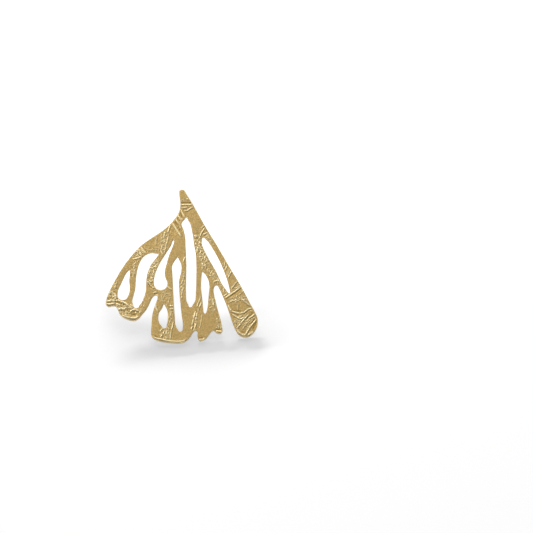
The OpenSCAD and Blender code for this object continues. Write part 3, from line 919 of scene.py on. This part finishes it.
def edges_of(lines):
    """Rows of x, y, x, y: the edges of closed lines."""
    return np.concatenate([np.column_stack([p, np.roll(p, -1, 0)]) for p in lines])


# A point keeps this share of a step from the rim.
clear_of_rim = 0.55


def face_points(lines, step, wanted=None):
    """A staggered field of points inside closed lines and clear of them, kept only where wanted. Its rows
    are as far apart as those of even triangles."""
    edges = edges_of(lines)
    low, high = edges[:, :2].min(0), edges[:, :2].max(0)
    rows = np.arange(low[1], high[1], step * math.sqrt(0.75))
    columns = np.arange(low[0], high[0], step)
    x, y = np.meshgrid(columns, rows)
    x = x + step / 2 * (np.arange(len(rows)) % 2)[:, None]
    field = np.column_stack([x.ravel(), y.ravel()])
    if wanted is not None:
        field = field[wanted(*field.T)]
    field = field[clear_of(field, edges[:, :2], clear_of_rim * step)]
    return field[inside_borders(field, edges)]


# Blender's number for keeping only the triangles inside the lines, and how near counts as the same.
inside_lines = 1
same_place = 1e-9


def fill(lines, numbers, field, start):
    """Triangles that join closed lines to a field of points inside them, as rows of vertex numbers.
    Triangles outside the metal have all three corners on the lines, and are dropped."""
    points = np.concatenate(lines + [field])
    names = np.concatenate(numbers + [start + np.arange(len(field))])
    line_ends = np.cumsum([0] + [len(p) for p in lines])
    links = []
    for a, b in zip(line_ends[:-1], line_ends[1:]):
        k = np.arange(a, b)
        links += np.column_stack([k, np.roll(k, -1)]).tolist()
    corners = [Vector(p) for p in points.tolist()]
    found = np.array(delaunay_2d_cdt(corners, links, [], inside_lines, same_place, False)[2])
    on_lines = (found < line_ends[-1]).all(1)
    keep = np.ones(len(found), bool)
    keep[on_lines] = inside_borders(points[found[on_lines]].mean(1), edges_of(lines))
    return names[found[keep]]


# %% [markdown]
# These helpers turn arrays into Blender's own data, all vertices in one call, because a loop over
# them would be slow. The places are already in the world, so every object stays at the origin, and
# a pattern that is read in object space can't slide.

# %% From arrays to objects
def mesh_from(name, points, faces):
    """A Blender mesh from an array of places and a list of face arrays, smooth shaded."""
    mesh = bpy.data.meshes.new(name)
    sizes = np.concatenate([np.full(len(f), f.shape[1]) for f in faces])
    corners = np.concatenate([f.ravel() for f in faces])
    mesh.vertices.add(len(points))
    mesh.vertices.foreach_set("co", points.ravel())
    mesh.loops.add(len(corners))
    mesh.loops.foreach_set("vertex_index", corners.astype(np.int32))
    mesh.polygons.add(len(sizes))
    mesh.polygons.foreach_set("loop_start", (np.cumsum(sizes) - sizes).astype(np.int32))
    mesh.polygons.foreach_set("use_smooth", np.ones(len(sizes), bool))
    mesh.update(calc_edges=True)
    mesh.validate()
    return mesh


def object_from(data):
    """An object at the origin that shows a mesh, a light or a camera, linked to the scene."""
    made = bpy.data.objects.new(data.name, data)
    bpy.context.scene.collection.objects.link(made)
    return made


def add_mask(mesh, name, values):
    """Stores a number from 0 to 1 at each vertex, for the material to read."""
    stored = mesh.attributes.new(name, "FLOAT", "POINT")
    stored.data.foreach_set("value", np.clip(values, 0, 1).astype(np.float32))


# %% [markdown]
# The points stand close where the front is folded, and farther apart on the plain fields and the back.
# Every crinkle is then real shape, in a mesh that stays light. The crest mask of rubs and painted
# highlight, and the hollow mask of painted shade, are stored at each vertex, where the material reads them.

# %% The sheet itself
fine_step = 0.072
plain_step = 0.13
back_step = 0.4
# A point of the plain fields keeps this share of a step from the fine ones.
clear_of_fine = 0.5
# The fine points reach out to this many half widths of a fold, and stop where the masks are this low.
fine_beside_fold = 2.2
least_fold = 0.02
# The back is almost flat: height, size and seed of its swell.
back_swell = (0.01, 2.5, 5)


def folded(x, y):
    """True where creases or crinkled patches stand near, so that the mesh has to be fine there."""
    marks = np.zeros(len(x))
    spare = np.zeros(len(x))
    widened = [(1, fine_beside_fold * half, *knots) for _, half, *knots in crease_rows]
    add_patches(x, y, patches, spare, marks, marks)
    add_creases(x, y, widened, spare, marks, marks)
    return marks > least_fold


def plain(x, y):
    """True where nothing but the slow swell shapes the sheet."""
    return ~folded(x, y)


def make_sheet():
    """The whole sheet: rims along all borders, then the front and back faces that fill between them."""
    parts, faces, front_lines, front_names, back_lines, back_names = [], [], [], [], [], []
    start = 0
    for points, inward in rims:
        rings = rim_rings(points, inward)
        count = len(points)
        parts += rings
        faces.append(ring_faces(start, count, len(rings)))
        front_lines.append(rings[0][:, :2])
        front_names.append(start + np.arange(count))
        back_lines.append(rings[-1][:, :2])
        back_names.append(start + count * (len(rings) - 1) + np.arange(count))
        start += count * len(rings)
    fine = face_points(front_lines, fine_step, folded)
    coarse = face_points(front_lines, plain_step, plain)
    field = np.concatenate([fine, coarse[clear_of(coarse, fine, clear_of_fine * plain_step)]])
    bump, crest, hollow = relief(*field.T)
    parts.append(np.column_stack([field, thickness + bump, crest, hollow]))
    faces.append(fill(front_lines, front_names, field, start))
    start += len(field)
    field = face_points(back_lines, back_step)
    height, size, seed = back_swell
    flat = height * swell(*field.T, size, seed)
    parts.append(np.column_stack([field, flat, 0 * flat, 0 * flat]))
    faces.append(fill(back_lines, back_names, field, start)[:, ::-1])
    rows = np.concatenate(parts)
    mesh = mesh_from("pierced_wing", laid(rows[:, :3]), faces)
    add_mask(mesh, "crest", rows[:, 3])
    add_mask(mesh, "hollow", rows[:, 4])
    return object_from(mesh)


wing = make_sheet()
triangles = sum(len(p.vertices) - 2 for p in wing.data.polygons)
print("wing:", len(wing.data.vertices), "vertices,", triangles, "triangles")

# %% [markdown]
# The ear post is turned: one profile of radii and depths, carried round an axis. A small fillet
# of solder runs out from its foot on to the back of the sheet. Near its rounded end is a shallow
# notch, where a clutch would snap on.

# %% The ear post
post_radius = post_mount["dims"]["r_mm"]
post_length = 10.0
foot_depth = post_length - post_mount["dims"]["length_mm"]
post_sides = 48
notch_depth = 0.07
solder = 0.16
post_profile = np.array([
    # radius, depth behind the sheet
    [0, -0.3],
    [foot_radius * 0.9, -0.3],
    [foot_radius + solder, -0.02],
    [foot_radius + 0.07, 0.03],
    [foot_radius, 0.1],
    [foot_radius, foot_depth - 0.08],
    [foot_radius - 0.03, foot_depth - 0.02],
    [foot_radius - 0.09, foot_depth],
    [post_radius + solder, foot_depth],
    [post_radius + 0.07, foot_depth + 0.04],
    [post_radius, foot_depth + solder],
    [post_radius, 4.0],
    [post_radius, 8.1],
    [post_radius - notch_depth, 8.25],
    [post_radius - notch_depth, 8.45],
    [post_radius, 8.6],
    [post_radius, post_length - 0.22],
    [post_radius - 0.05, post_length - 0.1],
    [post_radius - 0.15, post_length - 0.02],
    [0, post_length],
])


def turned(profile_rows, sides, place):
    """Points round an axis behind the sheet: each row's radius swept through a full turn at its depth."""
    angle = np.arange(sides) * 2 * math.pi / sides
    radius, depth = profile_rows[1:-1, :1], profile_rows[1:-1, 1:]
    x = place[0] + radius * np.cos(angle)
    y = place[1] + radius * np.sin(angle)
    z = -depth * np.ones(sides)
    ends = np.array([[*place, -profile_rows[0, 1]], [*place, -profile_rows[-1, 1]]])
    return np.concatenate([np.stack([x, y, z], 2).reshape(-1, 3), ends])


def make_post():
    """The post and its soldered foot as one closed turned shell."""
    points = turned(post_profile, post_sides, post_on_chart)
    rings = len(post_profile) - 2
    k = np.arange(post_sides)
    onward = (k + 1) % post_sides
    caps = rings * post_sides
    last = caps - post_sides
    top = np.stack([k, onward, np.full(post_sides, caps)], 1)
    tip = np.stack([last + onward, last + k, np.full(post_sides, caps + 1)], 1)
    mesh = mesh_from("ear_post", laid(points), [ring_faces(0, post_sides, rings), top, tip])
    add_mask(mesh, "crest", np.zeros(len(points)))
    add_mask(mesh, "hollow", np.zeros(len(points)))
    return object_from(mesh)


ear_post = make_post()
print("ear post:", post_length, "mm long and", 2 * post_radius, "mm thick")

# %% [markdown]
# Satin gold is a metal whose surface is rough at a scale too fine to see, so it reflects a blur of the
# room. Its grain is a bump of fine noise. Crests are smoother from a rub and paler from a rub and a painted
# highlight, and hollows are rougher and darker with painted shade. The grain and the wear with its painted
# light are node groups, so that the wing and the post share them. These helpers shorten the making of both.

# %% Node helpers
def feed(tree, node, sockets):
    """Fills a node's inputs, by name or number: a socket is linked, and anything else is set as a value."""
    for key, value in sockets.items():
        if isinstance(value, bpy.types.NodeSocket):
            tree.links.new(value, node.inputs[key])
        else:
            node.inputs[key].default_value = value


def add_node(tree, kind, sockets, **settings):
    """A shader node with its settings made first, since they decide which inputs it has."""
    node = tree.nodes.new("ShaderNode" + kind)
    for name, value in settings.items():
        setattr(node, name, value)
    feed(tree, node, sockets)
    return node


def new_group(name, inputs, outputs):
    """An empty shader group, the sockets of its input node and its output node. Inputs and outputs are
    given as names with the kind of each."""
    tree = bpy.data.node_groups.new(name, "ShaderNodeTree")
    for side, sockets in (("INPUT", inputs), ("OUTPUT", outputs)):
        for socket, kind in sockets.items():
            tree.interface.new_socket(socket, in_out=side, socket_type="NodeSocket" + kind)
    print(name + ":", ", ".join(inputs), "in and", ", ".join(outputs), "out")
    return tree, tree.nodes.new("NodeGroupInput").outputs, tree.nodes.new("NodeGroupOutput")


def noise(tree, vector, scale, detail):
    """A noise texture of that many waves a metre, read at a vector."""
    return add_node(tree, "TexNoise", {"Vector": vector, "Scale": scale, "Detail": detail}).outputs["Fac"]


def sum_of(tree, a, b, weight):
    """a plus b times a weight."""
    return add_node(tree, "Math", {0: b, 1: weight, 2: a}, operation="MULTIPLY_ADD").outputs[0]


def mixed(tree, share, a, b):
    """The colour a share of the way from a to b."""
    return add_node(tree, "Mix", {0: share, 6: a, 7: b}, data_type="RGBA").outputs[2]


# %% [markdown]
# The sheet was blasted with fine beads, which leave dimples of a tenth to a third of a millimetre.
# Two noises of that size add up to the height of a bump. A slow noise clouds the gilding, and a
# fine one speckles it. All are read in object space, so the grain has one size on every side.

# %% Shared grain
# Sizes of the noises, in waves a metre.
fine_dimples = 7500
coarse_dimples = 3600
speckles = 3000
clouds = 420
coarse_share = 1.2
speckle_from = 0.35
speckle_to = 0.65


def grain_group():
    """Satin grain: a height for a bump, a slow cloudy mask and a fine speckled one, all noise by place."""
    outputs = {"Height": "Float", "Cloud": "Float", "Speckle": "Float"}
    tree, take, give = new_group("satin grain", {"Vector": "Vector"}, outputs)
    fine, coarse, speckle = (
        noise(tree, take["Vector"], scale, 2) for scale in (fine_dimples, coarse_dimples, speckles)
    )
    sharper = {"Value": speckle, "From Min": speckle_from, "From Max": speckle_to}
    feed(tree, give, {
        "Height": sum_of(tree, fine, coarse, coarse_share),
        "Cloud": noise(tree, take["Vector"], clouds, 4),
        "Speckle": add_node(tree, "MapRange", sharper).outputs[0],
    })
    return tree


grain = grain_group()

# %% [markdown]
# The crest mask holds a rub and a painted highlight, and the hollow mask painted shade. The group of wear
# and painted light mixes three colours by the two masks that the relief left at the vertices: satin, a pale
# painted highlight and a dark painted shade. It makes crests smoother than the rest. Clouds and speckles
# break up the colour of the plain fields.

# %% Shared wear and painted light
satin_roughness = 0.40
rubbed_roughness = 0.27
hollow_roughness = 0.1
pale_power = 1.2
clouded_value = 0.92
clouded_saturation = 1.06
speckled_value = 0.78


def wear_and_light_group():
    """Wear and painted light: the crest and hollow masks become a colour, from painted shade through satin
    to a pale painted highlight.
    """
    inputs = {name: "Float" for name in ("Crest", "Hollow", "Cloud", "Speckle")}
    inputs.update({name: "Color" for name in ("Satin", "Highlight", "Shaded")})
    tree, take, give = new_group("rubbed crests", inputs, {"Color": "Color", "Roughness": "Float"})
    tint = {"Color": take["Satin"], "Value": clouded_value, "Saturation": clouded_saturation}
    clouded = mixed(tree, take["Cloud"], take["Satin"], add_node(tree, "HueSaturation", tint).outputs[0])
    darker = add_node(tree, "HueSaturation", {"Color": clouded, "Value": speckled_value})
    speckled = mixed(tree, take["Speckle"], clouded, darker.outputs[0])
    lower = mixed(tree, take["Hollow"], speckled, take["Shaded"])
    pale = add_node(tree, "Math", {0: take["Crest"], 1: pale_power}, operation="POWER")
    rough = add_node(tree, "MapRange", {
        "Value": take["Crest"], "To Min": satin_roughness, "To Max": rubbed_roughness,
    })
    feed(tree, give, {
        "Color": mixed(tree, pale.outputs[0], lower, take["Highlight"]),
        "Roughness": sum_of(tree, rough.outputs[0], take["Hollow"], hollow_roughness),
    })
    return tree


wear_and_light = wear_and_light_group()

# %% [markdown]
# One function makes both golds from the two groups. The post was turned and not blasted, so the
# bump of its grain is a tenth as high.

# %% The gold
satin_gold = (0.86, 0.608, 0.25, 1)
# The pale colour stands for a rub and a painted highlight, and the dark one for painted shade.
pale_highlight_gold = (0.882, 0.795, 0.525, 1)
painted_shade_gold = (0.42, 0.255, 0.06, 1)
blasted_grain = 0.04 * MM
turned_grain = 0.004 * MM


def gold_material(name, bump_height):
    """Gilded brass: metallic, coloured with wear and painted light and roughened by its group, with the
    grain group's bump.
    """
    material = bpy.data.materials.new(name)
    material.use_nodes = True
    tree = material.node_tree
    places = add_node(tree, "TexCoord", {})
    grained = add_node(tree, "Group", {"Vector": places.outputs["Object"]}, node_tree=grain)
    crest, hollow = (
        add_node(tree, "Attribute", {}, attribute_name=mask).outputs["Fac"] for mask in ("crest", "hollow")
    )
    worn_and_lit = add_node(tree, "Group", {
        "Crest": crest, "Hollow": hollow,
        "Cloud": grained.outputs["Cloud"], "Speckle": grained.outputs["Speckle"],
        "Satin": satin_gold, "Highlight": pale_highlight_gold, "Shaded": painted_shade_gold,
    }, node_tree=wear_and_light)
    bump = add_node(tree, "Bump", {
        "Strength": 1.0, "Distance": bump_height, "Height": grained.outputs["Height"],
    })
    feed(tree, tree.nodes["Principled BSDF"], {
        "Metallic": 1.0,
        "Base Color": worn_and_lit.outputs["Color"],
        "Roughness": worn_and_lit.outputs["Roughness"],
        "Normal": bump.outputs["Normal"],
    })
    return material


wing.data.materials.append(gold_material("satin gold", blasted_grain))
ear_post.data.materials.append(gold_material("turned gold", turned_grain))
print("finishes:", [piece.data.materials[0].name for piece in (wing, ear_post)])

# %% [markdown]
# Both pieces ride on the frame's one body and stand for its one node. Light thrown back from gold
# this close would tint the white table, so soft surfaces don't see the pieces.

# %% Places in the frame
for piece in (wing, ear_post):
    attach(piece, "root")
    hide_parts("wing")
    piece.visible_diffuse = False
print("on the frame:", wing.name, "and", ear_post.name)

# %% [markdown]
# The earring lies on a pale table and is seen almost square on, from a little below the way that
# its sheet faces. A long lens keeps it free of perspective. The camera aims beside it, because
# the earring lies left of the picture's middle.

# %% The camera
image_width = 117.3
picture_middle = np.array([17.71, -12.97, 0.9])
below_square = math.radians(12)
camera_roll = math.radians(-0.5)
world_up = axes @ np.array([0, 0, 1])
toward_camera = np.array([
    world_up[0] / world_up[2] * math.cos(below_square),
    -math.sin(below_square),
    math.cos(below_square),
]) @ axes
toward_camera /= np.linalg.norm(toward_camera)

camera_data = bpy.data.cameras.new("camera")
camera_data.lens = 100
camera_data.sensor_width = 36
camera_data.clip_start = 0.01
camera = object_from(camera_data)
bpy.context.scene.camera = camera
distance = MM * image_width * camera_data.lens / camera_data.sensor_width
camera.location = laid(picture_middle) + distance * toward_camera
camera.rotation_mode = "QUATERNION"
aim = Vector(-toward_camera).to_track_quat("-Z", "Y")
camera.rotation_quaternion = aim @ Quaternion((0, 0, 1), camera_roll)
print("camera", round(distance, 3), "m away with a lens of", camera_data.lens, "mm")

# %% [markdown]
# The earring lies on a white table that has a painted glow of its own. First comes the table: one wide flat
# face, rough all over, that takes a soft shadow and mirrors nothing.

# %% The table
table_half = 3.0
table_level = -0.02 * MM
table_white = (0.86, 0.86, 0.86, 1)
table_roughness = 0.9


def one_face(name, corners):
    """An object of one flat face through four corners."""
    return object_from(mesh_from(name, np.array(corners, float), [np.array([[0, 1, 2, 3]])]))


table_sides = ((-1, -1), (1, -1), (1, 1), (-1, 1))
table = one_face("table", [(table_half * x, table_half * y, table_level) for x, y in table_sides])
table_material = bpy.data.materials.new("white table")
table_material.use_nodes = True
table_tree = table_material.node_tree
table_shader = table_tree.nodes["Principled BSDF"]
feed(table_tree, table_shader, {"Base Color": table_white, "Roughness": table_roughness})
table.data.materials.append(table_material)
print("table", 2 * table_half, "m wide")

# %% [markdown]
# A painted pool of light keeps the table white where it is seen through the slots, in the shade of the
# sheet. It is an oval of glow that fades before the sheet's lower edge, so that a shadow gathers there,
# with a dimmer glow beside it. It is worked out in the table's own material, from the distance to the
# oval's middle.

# %% The painted glow of the table
glow_oval_middle = np.array([2.0, 3.0])
glow_oval_reach = np.array([18.0, 14.3])
glow_oval_edge = 0.22
painted_glow_beside = 0.43
painted_glow_over_oval = 0.76


def painted_table_glow(tree):
    """Grey of the table's own painted glow: one soft bright oval, dimmer beside it."""
    places = add_node(tree, "TexCoord", {})
    oval = add_node(tree, "Mapping", {
        "Vector": places.outputs["Object"],
        "Location": (*(-glow_oval_middle / glow_oval_reach), 0),
        "Scale": (*(1 / (MM * glow_oval_reach)), 0),
    })
    away = add_node(tree, "VectorMath", {0: oval.outputs[0]}, operation="LENGTH")
    fade = add_node(tree, "MapRange", {
        "Value": away.outputs["Value"],
        "From Min": 1 - glow_oval_edge, "From Max": 1 + glow_oval_edge,
        "To Min": painted_glow_over_oval, "To Max": painted_glow_beside,
    }, interpolation_type="SMOOTHSTEP")
    return fade.outputs[0]


feed(table_tree, table_shader, {"Emission Color": painted_table_glow(table_tree), "Emission Strength": 1.0})
# The oval of painted glow, in mm across.
print("lamp", *(2 * glow_oval_reach), "mm across")

# %% [markdown]
# The low light from behind can run under the raised sheet, and would draw a bright line along the
# edge that touches the table. A flag is what a studio puts in its way: a small card that hangs
# behind the earring. Only that light meets it, and no view or reflection shows it.

# %% The flag
flag_back = 17.5
flag_bottom = 6.0
flag_top = 11.2
flag_left = -18.4
flag_right = 1.6
flag = one_face("flag", MM * np.array([
    [flag_left, flag_back, flag_bottom],
    [flag_right, flag_back, flag_bottom],
    [flag_right, flag_back, flag_top],
    [flag_left, flag_back, flag_top],
]))
flag.visible_camera = False
flag.visible_glossy = False
flag.visible_diffuse = False
print("flag", flag_right - flag_left, "mm wide")

# %% [markdown]
# Metal shows its surroundings more than itself. A wide soft panel overhead gives the satin fields
# one even tone. Brighter panels stand round the left and the back, so that every fold has a bright
# flank and a dark one. The table has two panels of its own from behind, one low and one high, and
# their shadow falls forward. Light linking keeps the two sets apart, as screens do in a studio.

# %% The lights
def receivers(name, pieces):
    """A collection of the pieces that a set of lights shines on."""
    made = bpy.data.collections.new(name)
    for piece in pieces:
        made.objects.link(piece)
    return made


lit_metal = receivers("lit metal", [wing, ear_post])
lit_table = receivers("lit table", [table])
shading = {
    "low behind": receivers("shading low light", [wing, ear_post, flag]),
    "high behind": receivers("shading high light", [wing, ear_post]),
}
# Azimuth 0 is the camera's side and 90 the right.
panels = [
    # name, shines on, azimuth, elevation, distance, width, height, brightness
    ("overhead", lit_metal, 0, 85, 0.6, 0.44, 0.44, 0.56),
    ("behind", lit_metal, 180, 40, 0.6, 0.5, 0.4, 1.7),
    ("behind left", lit_metal, 232, 40, 0.6, 0.5, 0.4, 1.9),
    ("left", lit_metal, 282, 38, 0.6, 0.4, 0.36, 1.75),
    ("behind right", lit_metal, 130, 40, 0.6, 0.4, 0.36, 1.2),
    ("right", lit_metal, 98, 26, 0.6, 0.42, 0.3, 1.0),
    ("front", lit_metal, 0, 12, 0.6, 0.5, 0.16, 1.2),
    ("low behind", lit_table, 197, 17.3, 1.5, 1.1, 0.09, 98.0),
    ("high behind", lit_table, 172, 40, 0.8, 0.9, 0.52, 1.1),
]


def add_panel(name, shines_on, azimuth, elevation, distance, width, height, brightness):
    """A soft rectangular light on a sphere round the earring, turned to face it. Its power is its
    brightness times its area and pi, so that a panel of brightness 1 reads as white."""
    light = bpy.data.lights.new(name, "AREA")
    light.shape = "RECTANGLE"
    light.size = width
    light.size_y = height
    light.energy = brightness * math.pi * width * height
    a, e = math.radians(azimuth), math.radians(elevation)
    place = Vector((math.sin(a) * math.cos(e), -math.cos(a) * math.cos(e), math.sin(e)))
    lamp = object_from(light)
    lamp.location = place * distance
    lamp.rotation_mode = "QUATERNION"
    lamp.rotation_quaternion = (-place).to_track_quat("-Z", "Y")
    lamp.light_linking.receiver_collection = shines_on
    lamp.light_linking.blocker_collection = shading.get(name)


for row in panels:
    add_panel(*row)
print(len(panels), "panels round the earring")

# %% [markdown]
# The room is a dim even white, which lifts the darkest folds. The picture is shown without a film
# curve, so the table stays white.

# %% The room
room = bpy.data.worlds.new("room")
bpy.context.scene.world = room
room.use_nodes = True
room_light = 0.2
feed(room.node_tree, room.node_tree.nodes["Background"], {"Color": (1, 1, 1, 1), "Strength": room_light})
bpy.context.scene.view_settings.view_transform = "Standard"
print("room light", room_light)
